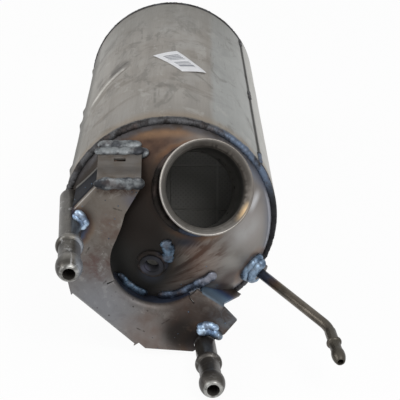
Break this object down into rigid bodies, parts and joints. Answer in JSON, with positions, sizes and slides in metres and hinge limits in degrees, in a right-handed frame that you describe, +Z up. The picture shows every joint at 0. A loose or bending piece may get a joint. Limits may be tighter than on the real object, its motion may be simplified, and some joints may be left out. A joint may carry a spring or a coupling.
{
  "type": "diesel particulate filter",
  "caption": "Round exhaust filter canister with a domed outlet end, flared outlet pipe, hanger bracket with hollow pins, sensor boss and pressure pipe.",
  "frame": {"origin": "centre of the inlet pipe's mouth, on the canister's axis", "axes": "+Y along the canister's axis, out of the inlet; +Z up; the outlet end looks along -Y"},
  "size_m": [0.1966, 0.5452, 0.1662],
  "materials": {
    "shell_steel": "dull rolled stainless sheet",
    "cap_steel": "pressed stainless sheet with brown and blue heat tints",
    "pipe_steel": "stainless tube",
    "bracket_steel": "pressed sheet, scuffed",
    "pin_steel": "drawn tube",
    "weld_metal": "weld metal with blue tints",
    "ceramic": "grey porous ceramic",
    "mat": "fibre mat",
    "label": "blank white sticker"
  },
  "bodies": {
    "root": {"canister_shell": "shell_steel", "seam_weld": "weld_metal", "outlet_cap": "cap_steel", "outlet_rim_weld": "weld_metal", "outlet_pipe": "pipe_steel", "outlet_pipe_weld": "weld_metal", "inlet_cone": "cap_steel", "inlet_rim_weld": "weld_metal", "inlet_pipe": "pipe_steel", "inlet_pipe_weld": "weld_metal", "filter_monolith": "ceramic", "support_mat": "mat", "hanger_bracket": "bracket_steel", "bracket_left_weld": "weld_metal", "bracket_right_weld": "weld_metal", "bracket_strap": "bracket_steel", "strap_rear_weld": "weld_metal", "strap_front_weld": "weld_metal", "left_hanger": "pin_steel", "left_hanger_weld": "weld_metal", "lower_hanger": "pin_steel", "lower_hanger_weld": "weld_metal", "sensor_boss": "pin_steel", "sensor_boss_weld": "weld_metal", "pressure_boss": "pin_steel", "pressure_boss_weld": "weld_metal", "pressure_pipe": "pin_steel", "label": "label"}
  },
  "joints": []
}
